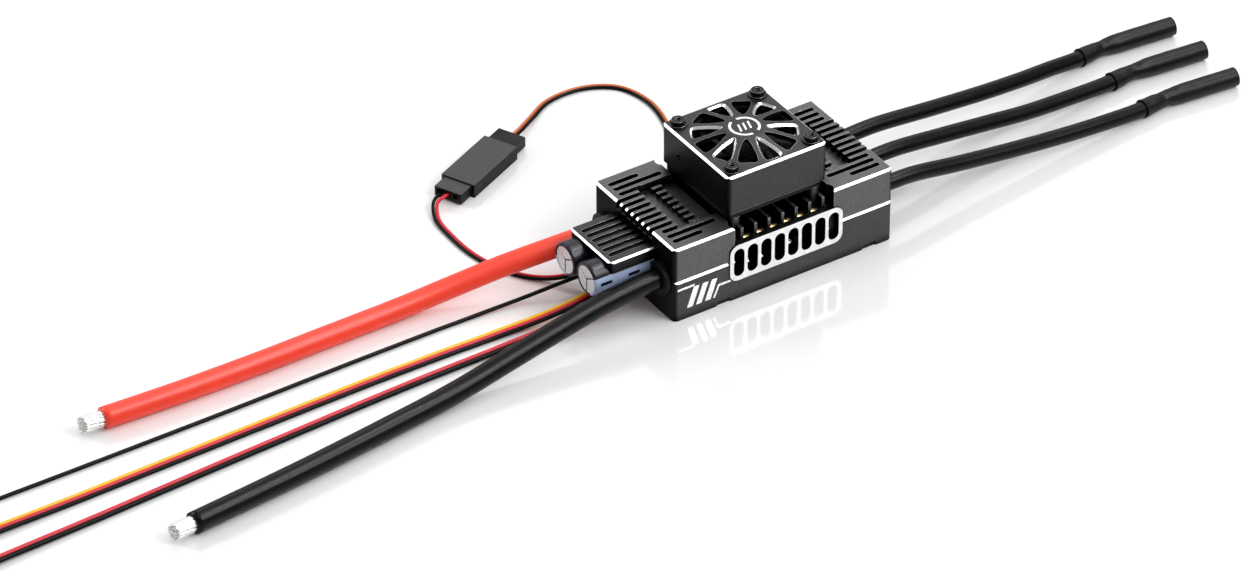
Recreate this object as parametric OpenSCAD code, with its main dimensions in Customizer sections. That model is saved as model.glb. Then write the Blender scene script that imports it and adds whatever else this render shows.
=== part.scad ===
// Brushless electronic speed controller: finned two-part aluminium case, cooling fan,
// two capacitors, battery and motor leads, and the small signal leads.
// +X points towards the motor leads, +Y to the rear side wall, +Z up.
// The origin is the centre of the case's flat underside.

/* [Case] */
// Length of the case along X
case_l = 69; // [66:1:74]
// Depth of the case along Y
case_w = 38; // [38:0.5:40]
// Height of the case
case_h = 22.8; // [22.8:0.2:24]
// Height of the joint between the two shells
seam_z = 12.2; // [12:0.1:12.6]
// Wall thickness of both shells
wall = 1.6; // [1.4:0.1:1.8]
// Width of the bright cut on the top edges
edge_cut = 0.55; // [0.4:0.05:1.2]

/* [Top fins] */
// Distance from one groove to the next
fin_pitch = 2.54; // [2.4:0.02:2.6]
// Width of a groove
groove_w = 1.6; // [1.3:0.1:1.7]
// Depth of a groove
groove_d = 2.4; // [1.5:0.1:2.8]

/* [Side vents] */
// Distance from one vent slot to the next
vent_pitch = 4.26; // [4.1:0.02:4.3]
// Number of slots in each vent frame
vent_slots = 8; // [6:1:8]
// Width of a slot
vent_slot_w = 3.25; // [2.8:0.05:3.4]
// Height of a slot
vent_slot_h = 8.5; // [7:0.1:9]

/* [Fan] */
// Outer width of the square fan cover
fan_cover_w = 31.2; // [31:0.1:31.4]
// Distance between the fan screws
fan_screw_pitch = 25; // [24.6:0.1:25.2]
// Number of petal openings in the guard
petals = 12; // [8:1:12]
// Number of fan blades
blades = 7; // [5:1:9]

/* [Leads] */
// Outer diameter of a battery lead
battery_d = 5.9; // [5.5:0.1:6]
// Outer diameter of a motor lead
motor_d = 4.35; // [4:0.05:4.4]
// Bore of the motor lead sockets
socket_bore_d = 4; // [3.5:0.5:4]

/* [Hidden] */
$fn = 48;
round_fn = 32;
tiny = 0.01;
over = 1;
x_end = case_l / 2;
y_side = case_w / 2;
corner_r = 1.5;
seam_cut = 0.5;
gap = 0.15;

// Shells
inner_x = x_end - wall;
inner_y = y_side - wall;
top_t = 4.4;
roof_z = case_h - top_t;
well_x = 15.6;
block_x = 17.5;
base_plate = [5.6, 7.2];
cover_t = 1.4;
cover_ledge = 0.7;
clip_x = [-19.05, 27.15];
clip_w = 4.3;
clip_h = 1.6;
scallop_r = 2.2;
scallop_at = [14.2, 17.2];

// Fins on top
groove_end_x = 32.5;
short_slot_x = 23.2;
valley_x = 27.2;
valley_y = 10.7;
rib_x = [20.1, 23.1];
long_slot_x = 17.6;
rib_top = case_h - 0.9;
rib_w = 0.9;
lobe = groove_w / 2;

// Air channel under the fan
channel_fin_t = 0.8;
channel_fin_top = 20.6;
vent_x = 0.5;
vent_z = 11.7;
vent_size = [35.5, 11.2];
vent_proud = 0.35;
vent_r = 2.6;
vent_y = y_side + vent_proud;
vent_t = vent_proud + wall;
post_r = 2.6;
post_hole_r = 1.05;
post_hole_z = 14;
bar_r = 1.1;
bar_y = 14.8;
bar_z = 15.2;
bar_l = 31;

// Boards and power parts
board_z = 2.2;
board_t = 1.4;
board_top = board_z + board_t;
board_size = [61.6, 33.2];
fet_size = [5.4, 6, 1.2];
fet_x = [-12.5, -7.5, -2.5, 2.5, 7.5, 12.5];
fet_y = [-9, 9];
pad_size = [29, 25];
control_size = [9.5, 21, 1.2];
control_x = 22.5;
control_z = 7;
pin_pitch = 2.54;
pin_w = 0.6;
chip_size = [6, 6, 1];
boss_x = 24;
boss_y = 14.4;
boss_r = 2.4;
screw_r = 1;
screw_tip_z = 16;
screw_head = [1.9, 1.1];
standoff_r = 1.6;
standoff_at = [28, 10];

// Wire lugs
lug_t = 1;
lug_x = inner_x - 2;
battery_y = 13;
battery_z = 11.2;
motor_exit_y = 11.8;
motor_exit_z = 12.4;
lug_h = 2.4;

// Grommets and gland
grommet_r = 4.7;
grommet_neck_r = 3.9;
grommet_out = 1.5;
motor_seal_r = 3.2;
gland_y = [-8.6, 9.2];
gland_z = [4.4, 7.8];
gland_out = 0.8;
gland_face = -(x_end + gland_out);

// Capacitors
cap_y = 5.1;
cap_z = 12.9;
cap_r = 4.7;
sleeve_t = 0.15;
cap_end_x = -52.6;
cap_l = 20;
cap_base_x = cap_end_x + cap_l;
cap_pin_x = -28;
cap_pin_r = 0.35;
cap_pin_pitch = 5;
cap_cover_end = -48.2;
cap_cover_y = 9.75;
cap_cover_top = 18.7;
cap_cover_low = 15.2;
cap_cover_cut = 0.45;
cap_groove_d = 0.7;

// Fan stack, from the shell upwards
fan_z = case_h;
fan_lip_w = 29.8;
fan_lip_t = 1.8;
cover_z = fan_z + fan_lip_t;
cover_top = 36.3;
cover_plate = 1.3;
cover_wall = 0.85;
fan_frame_w = 28.3;
fan_bore_r = 13.2;
fan_hole_r = 1.4;
fan_corner_r = 1.2;
strut_w = 1.6;
strut_t = 1;
motor_base_r = 5.4;
motor_base_t = 1.2;
tube_r = 2.4;
bearing_r = 1.6;
bearing_bore_r = 0.78;
shaft_r = 0.75;
bearing_z = [24.2, 29.8];
shaft_z = [24.4, 32.2];
stator_z = [25.3, 29];
stator_r = 4.35;
magnet_r = [4.7, 5.3];
magnet_z = [25.5, 31.2];
hub_r = 6.2;
hub_z = [25.4, 32.8];
hub_top_t = 1.4;
blade_r = 12.6;
blade_t = 0.9;
blade_tilt = 40;
blade_z = [25.3, 32.5];
fan_board_z = 24;
fan_board_t = 0.6;

// Guard
dome_top = 38.1;
dome_t = 1.1;
dome_flat_r = 5.2;
dome_r = 14.6;
petal = [[5.7, 1.2], [6, 4.5], [6.8, 7.6], [8, 10], [9.6, 11.4], [11.4, 12], [13, 11.8],
         [13.9, 10.8], [14.3, 8]];
washer_r = 2.45;
washer_t = 0.5;
head_r = 1.75;
head_h = 1.1;
hex_r = 1;
fan_screw_r = 1;
fan_screw_tip = 15;

// Leads: ring counts and routes. The points are centreline points, in millimetres.
steep = 0.8;
thick_sides = 12;
thin_sides = 8;
positive_route = [
    [-31, 13, 11.2], [-38, 13, 11.2], [-49, 14.3, 10.4], [-64, 17.8, 7.7], [-78, 20.4, 5],
    [-93, 21.7, 3.3], [-112, 21.9, 2.95], [-135, 21.7, 2.95], [-159, 22.1, 2.95],
    [-181, 23.2, 2.95]
];
negative_route = [
    [-31, -13, 11.2], [-38, -13, 11.2], [-53, -13.4, 10], [-69, -14.5, 7.8], [-85, -15.9, 5.5],
    [-99, -17.3, 3.7], [-113, -18.9, 2.95], [-129, -21.1, 2.95], [-152, -24, 2.95],
    [-184, -27.2, 2.95]
];
strand_l = 6.5;
strand_r = 2.2;
motor_routes = [
    [[31, 11.8, 12.4], [38, 11.8, 12.4], [50, 12.6, 12.1], [69, 13.4, 9.9], [87, 14.6, 7.6],
     [102, 16.4, 5.5], [113, 18.1, 4]],
    [[31, 0, 12.4], [38, 0, 12.4], [48, 0.6, 12.1], [65, 1.6, 9.7], [80, 2.4, 7.4],
     [94, 3, 5.4], [107, 4, 4]],
    [[31, -11.8, 12.4], [38, -11.8, 12.4], [46, -11.6, 12], [60, -11.4, 9.7], [77, -11.2, 7.3],
     [92, -10.9, 5.4], [106, -10.6, 4]]
];
neck_points = [[131.5, 20.3], [131.7, 6.2], [131, -8.9]];
sleeve_turn = 6;
socket_turn = -5;
sleeve_l = 7.5;
socket_l = 23;
socket_z = 2.65;
sleeve_r = 2.5;
neck_r = [1.9, 2];
neck_l = 1;
shrink_r = 2.65;
taper_l = 6;
shrink_t = 0.25;
socket_r = 2.35;
socket_depth = 12;
socket_back = 4;
socket_inset = 0.5;
cup_r = 2.05;

pair_w = 1.9;
pair_h = 0.95;
fan_route = [
    [-6, 14.9, 23.7], [-6, 18, 23.7], [-5.9, 21.4, 22.9], [-5.6, 23.6, 19.6], [-5.2, 24.6, 13],
    [-4.4, 25.4, 6.5], [-2.6, 28, 2.4], [1.6, 34, 0.6], [8.4, 46, 0.5], [14.2, 59, 0.5],
    [15.6, 70, 0.5], [12.4, 79.4, 0.5], [4, 84.4, 0.5], [-7, 84.2, 0.5], [-15.4, 79.4, 1],
    [-21.6, 75.1, 2], [-25.4, 73.3, 2]
];
supply_route = [
    [-55.1, 60.85, 2], [-58.7, 59, 1.9], [-61.8, 53.4, 0.8], [-62.6, 45, 0.5],
    [-62.4, 36, 0.5], [-60.6, 28, 0.5], [-57, 20.6, 0.5], [-52, 14.6, 1.1],
    [-46, 10, 3], [-40, 7.6, 5.7], [-35.3, 7.4, 6.1]
];
wire_d = 1.1;
telemetry_route = [
    [-35.3, 4.6, 6.1], [-40, 4.8, 5.9], [-50, 7, 4.4], [-62, 9.6, 2], [-77, 11.3, 0.7],
    [-105, 11.6, 0.55], [-150, 11.1, 0.55], [-195, 11, 0.55], [-240, 11.2, 0.55]
];
triple_w = 3.45;
triple_h = 1.15;
throttle_route = [
    [-35.3, -1.2, 6.1], [-40, -1.3, 5.9], [-50, -2, 4.5], [-62, -0.6, 2.3], [-77, 1.2, 0.8],
    [-105, 1.9, 0.6], [-150, 1.3, 0.6], [-200, 0.3, 0.6], [-244, -0.6, 1.4]
];
twin_w = 2.7;
twin_h = 1.35;
bec_route = [
    [-35.3, -6, 6.1], [-40, -6.1, 6], [-50, -6.5, 4.8], [-62, -6, 2.6], [-77, -4.8, 1],
    [-105, -4.9, 0.7], [-150, -6.8, 0.7], [-200, -9.4, 0.7], [-248, -12, 1.4]
];
plug_size = [14, 7.8, 2.8];
mini_plug_size = [9, 3.2, 2.8];
plug_lip = 0.4;
pin_hole = 0.8;

// Connector pair between the fan and the case
join_turn = 25;
join_at = [-40.2, 66.4];
join_size = [21.2, 10.4, 4];
tail_size = [5, 8.4, 3];
tail_slot = [4, 1.9, 1.9];
join_wall = 0.8;
plug_in = 12;
plug_out = 5.6;

// ---- Helpers ----

function unit(v) = v / norm(v);
function heading(p, i) = unit(p[min(i + 1, len(p) - 1)] - p[max(i - 1, 0)]);
function square_to(n, t) = unit(n - (n * t) * t);
// One upright direction per route point: level leads lie flat, steep ones keep their turn
function uprights(p, i, n) =
    i == len(p) ? []
    : let (t = heading(p, i), m = square_to(abs(t[2]) < steep ? [0, 0, 1] : n, t))
        concat([m], uprights(p, i + 1, m));
function ring(p, i, up, w, h, sides) =
    let (t = heading(p, i), side = cross(t, up))
    [for (k = [0 : sides - 1])
        let (a = 360 * (k + 0.5) / sides)
        p[i] + w / 2 * cos(a) * side + h / 2 * sin(a) * up];

// Closed tube of width w and height h that follows the route
module lead(route, w, h, sides) {
    up = uprights(route, 0, [0, 0, 1]);
    rings = len(route);
    points = [for (i = [0 : rings - 1]) each ring(route, i, up[i], w, h, sides)];
    skin = [
        for (i = [0 : rings - 2], k = [0 : sides - 1])
            let (a = i * sides + k, b = i * sides + (k + 1) % sides)
            [a, b, b + sides, a + sides]
    ];
    first = [[for (k = [sides - 1 : -1 : 0]) k]];
    last = [[for (k = [0 : sides - 1]) (rings - 1) * sides + k]];
    polyhedron(points, concat(skin, first, last));
}

module round_rect(w, d, r) {
    square([w - 2 * r, d], center = true);
    square([w, d - 2 * r], center = true);
    for (x = [-1, 1], y = [-1, 1])
        translate([x * (w / 2 - r), y * (d / 2 - r)])
            circle(r, $fn = round_fn);
}

module slot_2d(l, w) {
    square([l - w, w], center = true);
    for (x = [-1, 1])
        translate([x * (l - w) / 2, 0])
            circle(w / 2, $fn = round_fn);
}

// Outline drawn in Y and Z, pulled along X
module along_x(x0, x1) {
    translate([x0, 0, 0])
        rotate([90, 0, 90])
            linear_extrude(x1 - x0)
                children();
}

// Outline drawn in X and Z, pulled along Y
module along_y(y0, y1) {
    translate([0, y1, 0])
        rotate([90, 0, 0])
            linear_extrude(y1 - y0)
                children();
}

module rod_x(x0, x1, y, z, r) {
    translate([x0, y, z])
        rotate([0, 90, 0])
            cylinder(h = x1 - x0, r = r);
}

module box(x0, x1, y0, y1, z0, z1) {
    translate([x0, y0, z0])
        cube([x1 - x0, y1 - y0, z1 - z0]);
}

module corners(x, y) {
    for (i = [-1, 1], j = [-1, 1])
        translate([i * x, j * y, 0])
            children();
}

module both_sides() {
    children();
    mirror([0, 1, 0])
        children();
}

module both_ends() {
    children();
    mirror([1, 0, 0])
        children();
}

// Block with round upright corners and cut upper edges
module cut_block(w, d, z0, z1, r, cut) {
    intersection() {
        translate([0, 0, z0])
            linear_extrude(z1 - z0)
                round_rect(w, d, r);
        along_y(-d, d)
            polygon([[-w / 2, z0], [w / 2, z0], [w / 2, z1 - cut], [w / 2 - cut, z1],
                     [cut - w / 2, z1], [-w / 2, z1 - cut]]);
        along_x(-w, w)
            polygon([[-d / 2, z0], [d / 2, z0], [d / 2, z1 - cut], [d / 2 - cut, z1],
                     [cut - d / 2, z1], [-d / 2, z1 - cut]]);
    }
}

// ---- Case ----

module seam_wedge(z) {
    along_x(-case_l, case_l)
        polygon([[-y_side - tiny, z - seam_cut], [-y_side - tiny, z + seam_cut],
                 [seam_cut - y_side, z]]);
}

module lead_holes() {
    both_sides()
        rod_x(-x_end - over, -inner_x + over, battery_y, battery_z, grommet_neck_r);
    both_sides()
        rod_x(-x_end - over, -inner_x + over, cap_y, cap_z, cap_r + gap);
    box(-x_end - over, -inner_x + over, gland_y[0], gland_y[1], gland_z[0], gland_z[1]);
    for (y = [-motor_exit_y, 0, motor_exit_y])
        rod_x(inner_x - over, x_end + over, y, motor_exit_z, motor_seal_r);
}

module vent_holes() {
    both_sides()
        translate([vent_x, 0, vent_z])
            along_y(-y_side - over, -inner_y)
                round_rect(vent_size[0] + 2 * gap, vent_size[1] + 2 * gap, vent_r);
}

module groove(x0, x1, y) {
    translate([(x0 + x1) / 2, y, case_h - groove_d])
        linear_extrude(groove_d + over)
            slot_2d(x1 - x0, groove_w);
}

// Grooves over one end block, drawn for the +X end
module end_grooves() {
    for (k = [-3 : 3])
        groove(valley_x - 2, x_end + over + lobe, k * fin_pitch);
    for (k = [-4, 4])
        groove(valley_x - 2, groove_end_x, k * fin_pitch);
    for (k = [-5, 5])
        groove(long_slot_x, groove_end_x, k * fin_pitch);
    for (k = [-6, 6])
        groove(short_slot_x, groove_end_x, k * fin_pitch);
    difference() {
        box(well_x - over, valley_x, -valley_y, valley_y, case_h - groove_d, case_h + over);
        for (k = [-4 : 3])
            box(rib_x[0], rib_x[1], (k + 0.5) * fin_pitch - rib_w / 2,
                (k + 0.5) * fin_pitch + rib_w / 2, 0, rib_top);
    }
}

module channel_fins() {
    for (k = [1 : vent_slots - 1])
        box(vent_x + (k - vent_slots / 2) * vent_pitch - channel_fin_t / 2,
            vent_x + (k - vent_slots / 2) * vent_pitch + channel_fin_t / 2,
            -inner_y, inner_y, base_plate[0], channel_fin_top);
}

module heatsink() {
    color([0.1, 0.1, 0.11])
    difference() {
        union() {
            difference() {
                cut_block(case_l, case_w, seam_z, case_h, corner_r, edge_cut);
                box(-inner_x, inner_x, -inner_y, inner_y, seam_z - over, roof_z);
                box(-well_x, well_x, -case_w, case_w, seam_z + tiny, case_h + over);
                corners(scallop_at[0], scallop_at[1])
                    cylinder(h = case_h + over, r = scallop_r);
                both_ends()
                    end_grooves();
            }
            both_ends()
                box(well_x, block_x, -inner_y, inner_y, base_plate[0], roof_z + tiny);
            box(-block_x, block_x, -inner_y, inner_y, base_plate[0], base_plate[1]);
            channel_fins();
            corners(fan_screw_pitch / 2, fan_screw_pitch / 2)
                translate([0, 0, base_plate[0]])
                    cylinder(h = case_h - base_plate[0], r = post_r);
            corners(boss_x, boss_y)
                translate([0, 0, seam_z])
                    cylinder(h = roof_z - seam_z + tiny, r = boss_r);
        }
        corners(fan_screw_pitch / 2, fan_screw_pitch / 2)
            translate([0, 0, post_hole_z])
                cylinder(h = case_h, r = post_hole_r);
        corners(boss_x, boss_y)
            translate([0, 0, seam_z - over])
                cylinder(h = screw_tip_z - seam_z + over, r = screw_r);
        both_sides()
            seam_wedge(seam_z);
        both_sides()
            rod_x(-bar_l / 2, bar_l / 2, bar_y, bar_z, bar_r);
        lead_holes();
        vent_holes();
    }
}

module lower_case() {
    color([0.08, 0.08, 0.09])
    difference() {
        union() {
            difference() {
                linear_extrude(seam_z)
                    round_rect(case_l, case_w, corner_r);
                box(-inner_x, inner_x, -inner_y, inner_y, -over, seam_z + over);
            }
            corners(boss_x, boss_y)
                cylinder(h = seam_z, r = boss_r);
            corners(boss_x, boss_y + boss_r / 2 + gap)
                translate([-boss_r, -boss_r / 2, 0])
                    cube([2 * boss_r, boss_r, seam_z]);
        }
        box(-inner_x - cover_ledge, inner_x + cover_ledge, -inner_y - cover_ledge,
            inner_y + cover_ledge, -over, cover_t);
        corners(boss_x, boss_y)
            translate([0, 0, -over])
                cylinder(h = case_h, r = screw_r + gap);
        both_sides()
            seam_wedge(seam_z);
        both_sides()
            for (x = clip_x)
                box(x - clip_w / 2, x + clip_w / 2, -case_w, -inner_y, -over, clip_h);
        lead_holes();
        vent_holes();
    }
}

module bottom_cover() {
    color([0.05, 0.05, 0.05])
    difference() {
        union() {
            box(-inner_x - cover_ledge + gap, inner_x + cover_ledge - gap,
                -inner_y - cover_ledge + gap, inner_y + cover_ledge - gap, 0, cover_t);
            both_sides()
                for (x = clip_x)
                    box(x - clip_w / 2 + gap, x + clip_w / 2 - gap, -y_side + 0.4,
                        -inner_y, 0, cover_t);
            corners(standoff_at[0], standoff_at[1])
                cylinder(h = board_z, r = standoff_r);
        }
        corners(boss_x, boss_y)
            translate([0, 0, -over])
                cylinder(h = case_h, r = screw_r + gap);
        corners(boss_x, boss_y)
            translate([0, 0, -over])
                cylinder(h = over + screw_head[1], r = screw_head[0] + gap);
    }
}

module case_screws() {
    color("silver")
    corners(boss_x, boss_y)
        difference() {
            union() {
                cylinder(h = screw_head[1], r = screw_head[0]);
                cylinder(h = screw_tip_z, r = screw_r);
            }
            translate([0, 0, -over])
                cylinder(h = over + screw_head[1] / 2, r = hex_r, $fn = 6);
        }
}

module vent_frame() {
    color([0.85, 0.85, 0.85])
    translate([vent_x, 0, vent_z])
        along_y(-vent_y, vent_t - vent_y)
            difference() {
                round_rect(vent_size[0], vent_size[1], vent_r);
                for (k = [0 : vent_slots - 1])
                    translate([(k + 0.5 - vent_slots / 2) * vent_pitch, 0])
                        rotate(90)
                            slot_2d(vent_slot_h, vent_slot_w);
            }
}

module vent_frame_front() {
    vent_frame();
}

module vent_frame_rear() {
    mirror([0, 1, 0])
        vent_frame();
}

module heat_spreader_bars() {
    color([0.75, 0.62, 0.35])
    both_sides()
        rod_x(-bar_l / 2, bar_l / 2, bar_y, bar_z, bar_r);
}

// ---- Electronics ----

module power_board() {
    color([0.05, 0.25, 0.12])
    difference() {
        translate([0, 0, board_z + board_t / 2])
            cube([board_size[0], board_size[1], board_t], center = true);
        corners(boss_x, boss_y)
            translate([-boss_r - gap, -boss_r - gap, 0])
                cube([2 * (boss_r + gap), case_w, board_top + over]);
        corners(boss_x, -boss_y)
            translate([-boss_r - gap, boss_r + gap - case_w, 0])
                cube([2 * (boss_r + gap), case_w, board_top + over]);
    }
}

module control_board() {
    color([0.05, 0.22, 0.3])
    translate([control_x, 0, control_z + control_size[2] / 2])
        cube(control_size, center = true);
}

module board_pins() {
    color([0.8, 0.65, 0.3])
    for (k = [-3 : 3])
        translate([control_x, k * pin_pitch, (board_top + control_z) / 2])
            cube([pin_w, pin_w, control_z - board_top], center = true);
}

module mosfets() {
    color([0.12, 0.12, 0.12])
    for (x = fet_x, y = fet_y)
        translate([x, y, board_top + fet_size[2] / 2])
            cube([4.4, fet_size[1], fet_size[2]], center = true);
}

module controller_chip() {
    color([0.1, 0.1, 0.1])
    translate([control_x, 0, control_z + control_size[2] + chip_size[2] / 2])
        cube(chip_size, center = true);
}

module thermal_pad() {
    color([0.65, 0.65, 0.7])
    translate([0, 0, (board_top + fet_size[2] + base_plate[0]) / 2])
        cube([pad_size[0], pad_size[1], base_plate[0] - board_top - fet_size[2]],
             center = true);
}

// Upright copper lug on the board that a wire's end is soldered to, at the -X end
module lug(y, half_w, top) {
    box(-lug_x, lug_t - lug_x, y - half_w, y + half_w, board_top, top);
}

module battery_lugs() {
    color([0.75, 0.45, 0.25])
    both_sides()
        lug(battery_y, lug_h, battery_z + lug_h);
}

module motor_lugs() {
    color([0.75, 0.45, 0.25])
    mirror([1, 0, 0])
        for (y = [-motor_exit_y, 0, motor_exit_y])
            lug(y, lug_h, motor_exit_z + lug_h);
}

// ---- Seals at the wire exits ----

module grommet() {
    color([0.03, 0.03, 0.03])
    difference() {
        union() {
            rod_x(-x_end - grommet_out, -x_end, -battery_y, battery_z, grommet_r);
            rod_x(-x_end - tiny, -inner_x, -battery_y, battery_z, grommet_neck_r);
        }
        rod_x(-x_end - case_w, 0, -battery_y, battery_z, battery_d / 2);
        rod_x(-x_end - case_w, 0, -cap_y, cap_z, cap_r + 2 * gap);
        box(-case_l, 0, gland_y[0] - gap, 0, 0, gland_z[1] + gap);
    }
}

module negative_grommet() {
    grommet();
}

module positive_grommet() {
    mirror([0, 1, 0])
        grommet();
}

module motor_lead_seals() {
    color([0.03, 0.03, 0.03])
    for (y = [-motor_exit_y, 0, motor_exit_y])
        difference() {
            rod_x(inner_x, x_end + 0.6, y, motor_exit_z, motor_seal_r);
            rod_x(0, case_l, y, motor_exit_z, motor_d / 2);
        }
}

module lead_gland() {
    color([0.04, 0.04, 0.04])
    box(gland_face, -inner_x, gland_y[0], gland_y[1], gland_z[0], gland_z[1]);
}

// ---- Capacitors ----

module capacitor_cans() {
    color([0.8, 0.8, 0.82])
    both_sides()
        rod_x(cap_end_x, cap_base_x, cap_y, cap_z, cap_r - sleeve_t);
}

module capacitor_sleeves() {
    color([0.05, 0.06, 0.2])
    both_sides()
        difference() {
            rod_x(cap_end_x + 0.3, cap_base_x, cap_y, cap_z, cap_r);
            rod_x(cap_end_x - over, cap_base_x + over, cap_y, cap_z, cap_r - sleeve_t);
        }
}

module capacitor_bungs() {
    color([0.08, 0.08, 0.08])
    both_sides()
        rod_x(cap_base_x, cap_base_x + 1.2, cap_y, cap_z, cap_r - 0.9);
}

module capacitor_pins() {
    color("silver")
    both_sides()
        for (y = [cap_y - cap_pin_pitch / 2, cap_y + cap_pin_pitch / 2]) {
            rod_x(cap_base_x + 1.2, cap_pin_x + cap_pin_r, y, cap_z, cap_pin_r);
            translate([cap_pin_x, y, board_top])
                cylinder(h = cap_z - board_top, r = cap_pin_r);
        }
}

module capacitor_cover() {
    color([0.1, 0.1, 0.11])
    difference() {
        intersection() {
            translate([0, 0, cap_cover_low])
                cut_block(-2 * cap_cover_end, 2 * cap_cover_y, 0,
                          cap_cover_top - cap_cover_low, corner_r, cap_cover_cut);
            box(cap_cover_end - over, -x_end, -case_w, case_w, 0, case_h);
        }
        both_sides()
            rod_x(-case_l, 0, cap_y, cap_z, cap_r + gap);
        box(cap_cover_end + over, 0, -cap_y, cap_y, 0, cap_z + cap_r / 2 + 1.6);
        for (k = [-2.5 : 1 : 2.5])
            translate([-x_end, k * fin_pitch, cap_cover_top - cap_groove_d])
                linear_extrude(over)
                    slot_2d(-2 * (cap_cover_end + 1.6) - case_l, groove_w);
    }
}

// ---- Fan ----

module petal_hole() {
    outline = concat(
        [for (p = petal) [p[0] * cos(p[1]), p[0] * sin(p[1])]],
        [for (i = [len(petal) - 1 : -1 : 0])
            [petal[i][0] * cos(petal[i][1]), -petal[i][0] * sin(petal[i][1])]]
    );
    translate([0, 0, cover_z + fan_lip_t])
        linear_extrude(cover_top)
            polygon(outline);
}

module guard_dome() {
    rotate_extrude($fn = 72)
        polygon([[0, dome_top - dome_t], [dome_flat_r, dome_top - dome_t],
                 [dome_r, cover_top - cover_plate], [dome_r, cover_top],
                 [dome_flat_r, dome_top], [0, dome_top]]);
}

module fan_cover() {
    half = fan_cover_w / 2;
    color([0.1, 0.1, 0.11])
    difference() {
        union() {
            difference() {
                cut_block(fan_cover_w, fan_cover_w, cover_z, cover_top, corner_r, edge_cut);
                box(cover_wall - half, half - cover_wall, cover_wall - half,
                    half - cover_wall, cover_z - over, cover_top - cover_plate);
                cylinder(h = case_l, r = dome_r - gap);
            }
            guard_dome();
        }
        for (k = [0 : petals - 1])
            rotate(360 * k / petals)
                petal_hole();
        corners(fan_screw_pitch / 2, fan_screw_pitch / 2)
            cylinder(h = case_l, r = fan_hole_r);
        rod_x(-case_l, -half + cover_wall / 2, 7.5, 29.7, 0.8);
    }
}

module fan_screws() {
    color([0.05, 0.05, 0.05])
    corners(fan_screw_pitch / 2, fan_screw_pitch / 2)
        difference() {
            union() {
                translate([0, 0, cover_top + washer_t])
                    cylinder(h = head_h, r = head_r);
                translate([0, 0, fan_screw_tip])
                    cylinder(h = cover_top + washer_t - fan_screw_tip + tiny, r = fan_screw_r);
            }
            translate([0, 0, cover_top + washer_t + head_h / 2])
                cylinder(h = head_h, r = hex_r, $fn = 6);
        }
}

module fan_washers() {
    color([0.05, 0.05, 0.05])
    corners(fan_screw_pitch / 2, fan_screw_pitch / 2)
        translate([0, 0, cover_top])
            difference() {
                cylinder(h = washer_t, r = washer_r);
                translate([0, 0, -over])
                    cylinder(h = case_h, r = fan_screw_r + gap);
            }
}

module fan_frame() {
    color([0.04, 0.04, 0.04])
    difference() {
        union() {
            difference() {
                union() {
                    translate([0, 0, fan_z])
                        linear_extrude(fan_lip_t)
                            round_rect(fan_lip_w, fan_lip_w, fan_corner_r);
                    translate([0, 0, cover_z])
                        linear_extrude(cover_top - cover_plate - cover_z)
                            round_rect(fan_frame_w, fan_frame_w, fan_corner_r);
                }
                cylinder(h = case_l, r = fan_bore_r);
            }
            for (a = [45, 165, 285])
                rotate(a)
                    translate([0, -strut_w / 2, fan_z])
                        cube([fan_bore_r + 0.4, strut_w, strut_t]);
            translate([0, 0, fan_z])
                cylinder(h = motor_base_t, r = motor_base_r);
            translate([0, 0, fan_z])
                cylinder(h = bearing_z[1] - fan_z, r = tube_r);
        }
        translate([0, 0, bearing_z[0]])
            cylinder(h = case_h, r = bearing_r);
        corners(fan_screw_pitch / 2, fan_screw_pitch / 2)
            cylinder(h = case_l, r = fan_hole_r);
    }
}

module fan_bearing() {
    color([0.7, 0.55, 0.3])
    translate([0, 0, bearing_z[0]])
        difference() {
            cylinder(h = bearing_z[1] - bearing_z[0], r = bearing_r);
            translate([0, 0, -over])
                cylinder(h = case_h, r = bearing_bore_r);
        }
}

module fan_stator() {
    color([0.7, 0.4, 0.2])
    translate([0, 0, stator_z[0]])
        difference() {
            union() {
                cylinder(h = stator_z[1] - stator_z[0], r = 3.1);
                for (a = [0 : 90 : 270])
                    rotate(a)
                        translate([0, -1.1, 0])
                            cube([stator_r - 0.15, 2.2, stator_z[1] - stator_z[0]]);
            }
            translate([0, 0, -over])
                cylinder(h = case_h, r = tube_r);
        }
}

module fan_board() {
    color([0.05, 0.3, 0.12])
    translate([0, 0, fan_board_z])
        difference() {
            cylinder(h = fan_board_t, r = motor_base_r - 0.3);
            translate([0, 0, -over])
                cylinder(h = case_h, r = tube_r);
        }
}

module fan_shaft() {
    color("silver")
    translate([0, 0, shaft_z[0]])
        cylinder(h = shaft_z[1] - shaft_z[0], r = shaft_r);
}

module fan_magnet() {
    color([0.2, 0.2, 0.2])
    translate([0, 0, magnet_z[0]])
        difference() {
            cylinder(h = magnet_z[1] - magnet_z[0], r = magnet_r[1]);
            translate([0, 0, -over])
                cylinder(h = case_h, r = magnet_r[0]);
        }
}

module fan_blade() {
    middle = (blade_z[0] + blade_z[1]) / 2;
    intersection() {
        translate([0, 0, middle])
            rotate([blade_tilt, 0, 0])
                translate([0, -case_w / 4, -blade_t / 2])
                    cube([case_w, case_w / 2, blade_t]);
        translate([0, 0, blade_z[0]])
            difference() {
                cylinder(h = blade_z[1] - blade_z[0], r = blade_r);
                translate([0, 0, -over])
                    cylinder(h = case_h, r = hub_r - 0.3);
            }
    }
}

module fan_impeller() {
    color([0.05, 0.05, 0.05])
    difference() {
        union() {
            translate([0, 0, hub_z[0]])
                cylinder(h = hub_z[1] - hub_z[0], r = hub_r);
            for (k = [0 : blades - 1])
                rotate(360 * k / blades)
                    fan_blade();
        }
        translate([0, 0, hub_z[0] - over])
            difference() {
                cylinder(h = hub_z[1] - hub_z[0] - hub_top_t + over, r = magnet_r[1]);
                translate([0, 0, bearing_z[1] + 0.5 - hub_z[0] + over])
                    cylinder(h = case_h, r = bearing_r);
            }
        translate([0, 0, hub_z[0]])
            cylinder(h = shaft_z[1] - hub_z[0], r = shaft_r);
    }
}

// ---- Power leads ----

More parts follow.
